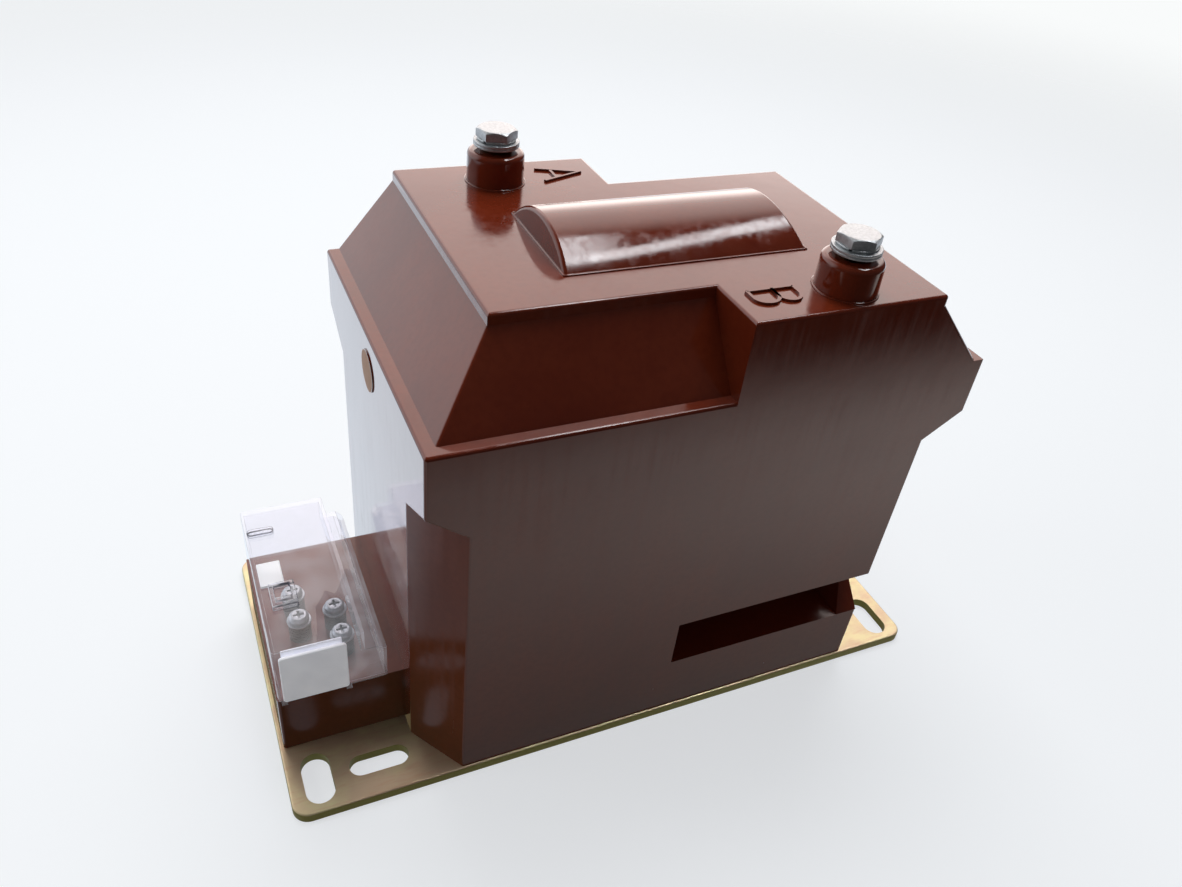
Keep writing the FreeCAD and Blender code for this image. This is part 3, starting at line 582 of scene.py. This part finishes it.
def face_outward(mesh):
    """Turns every face of a closed mesh outward."""
    work = bmesh.new()
    work.from_mesh(mesh)
    bmesh.ops.recalc_face_normals(work, faces=work.faces)
    work.to_mesh(mesh)
    work.free()


def arc(centre, radius_x, radius_y, start, end, count):
    """Points of an elliptical arc from start to end degrees."""
    turn = np.radians(np.linspace(start, end, count))
    return np.stack([centre[0] + radius_x * np.cos(turn), centre[1] + radius_y * np.sin(turn)], 1)


def make_letters():
    """Terminal letters cast proud of the top: each reads with its head toward +X."""
    ridge("letter_a_outline", [(-13.9, 73.1), (6.9, 65.4), (-13.9, 57.9)], 1.7, 1.1, top_z)
    ridge("letter_a_bar", [(-6.8, 70.0), (-6.8, 61.0)], 1.6, 1.0, top_z)
    ridge("letter_b_spine", [(26.4, -64.9), (48.7, -64.9)], 1.7, 1.1, top_z)
    for name, low, high in (("letter_b_foot_bowl", 26.4, 38.2), ("letter_b_head_bowl", 38.2, 48.7)):
        centre = ((low + high) / 2, -70.6)
        bowl = arc(centre, (high - low) / 2, 5.1, 0, -180, 15)
        points = np.concatenate([[(high, -64.9)], bowl, [(low, -64.9)]])
        ridge(name, points, 1.7, 1.1, top_z)


def bead_ring(name, place, radius, thick, seed):
    """Bead of resin squeezed out round a bushing's foot: a ring whose centre line and thickness wander.
    At angle t its radius is radius + wander(t) and its section a circle of thick * (1 + swell(t))."""
    random = np.random.default_rng(seed)
    turn = np.linspace(0, 2 * math.pi, 160, endpoint=False)[:, None]
    section = np.linspace(0, 2 * math.pi, 10, endpoint=False)[None, :]
    waves = np.arange(2, 8)
    phase = random.uniform(0, 2 * math.pi, (2, 6))
    wander = (np.sin(waves * turn + phase[0]) / waves).sum(1)[:, None]
    swell = (np.sin(waves * turn + phase[1]) / waves).sum(1)[:, None]
    size = thick * MM * (1 + 0.45 * swell)
    reach = radius * MM + 0.25 * MM * wander + size * np.cos(section)
    vertices = np.stack([place[0] + reach * np.cos(turn), place[1] + reach * np.sin(turn),
                         top_z + 0.15 * MM + size * np.sin(section)], -1)
    put(name, vertices, grid_faces(160, 10, True, True)[:, ::-1], finishes["epoxy_resin"])


def cove(name, corners, thick):
    """Thin glossy fillet where the rib meets the top: a round bead carried round the rib's foot."""
    corners = np.asarray(corners, float)
    sides = np.linalg.norm(np.roll(corners, -1, 0) - corners, axis=1)
    path = np.concatenate([np.linspace(p, q, int(side), endpoint=False)
                           for p, q, side in zip(corners, np.roll(corners, -1, 0), sides)])
    ahead = np.roll(path, -1, 0) - np.roll(path, 1, 0)
    ahead /= np.linalg.norm(ahead, axis=1)[:, None]
    outward = np.stack([ahead[:, 1], -ahead[:, 0]], 1)
    section = np.linspace(0, 2 * math.pi, 8, endpoint=False)[None, :, None]
    flat = path[:, None, :] * MM + thick * MM * np.cos(section) * outward[:, None, :]
    up = np.broadcast_to(top_z + 0.1 * MM + thick * MM * np.sin(section), flat.shape[:2] + (1,))
    vertices = np.concatenate([flat, up], -1)
    put(name, vertices, grid_faces(len(path), 8, True, True), finishes["epoxy_resin"])


def make_gate_face():
    """Face of the cut pouring gate: a shallow dome, its height falling with the square of the distance from its
    middle, with low saw ridges."""
    reach = np.linspace(0, 1, 12)[:, None]
    turn = np.linspace(0, 2 * math.pi, 48, endpoint=False)[None, :]
    across, up = GATE_R * MM * reach * np.cos(turn), GATE_R * MM * reach * np.sin(turn)
    lift = 0.25 * MM * (1 - reach ** 2) + 0.04 * MM * np.sin(across / (0.9 * MM)) * (1 - reach)
    vertices = np.stack([body_left - GATE_PROUD * MM - lift, GATE_Y * MM + across, GATE_Z * MM + up], -1)
    put("gate_face", vertices, grid_faces(12, 48, wrap_columns=True), finishes["ground_gate"])


def make_shown_nodes():
    """Copies with rounded edges of the hardware and of the plastic mouldings."""
    for tag in "ab":
        softened("hv_bolt_" + tag, 0.35, 3)
        for washer in ("hv_washer_lower_", "hv_washer_upper_", "hv_spring_washer_"):
            softened(washer + tag, 0.3, 3)
    softened("lv_screws", 0.15, 2)
    softened("lv_washers", 0.2, 2)
    softened("terminal_cover", 0.45, 3, edge_finish=finishes["clear_edge_painted_highlights"])
    softened("front_blanking_plate", 0.5, 3)
    softened("seal_eyelet", 0.6, 3, edge_finish=finishes["clear_edge_painted_highlights"])
    softened("seal_tongue", 0.4, 2)
    softened("cover_catch", 0.5, 3, edge_finish=finishes["clear_edge_painted_highlights"])


dress_nodes()
make_shown_nodes()
make_letters()
for tag in "ab":
    bead_ring("bushing_bead_" + tag, bolt_places[tag], 14.2, 0.55, ord(tag))
cove("rib_cove", RIB_FOOT, 0.6)
make_gate_face()
make_studio()
bpy.context.scene.view_settings.view_transform = "Standard"
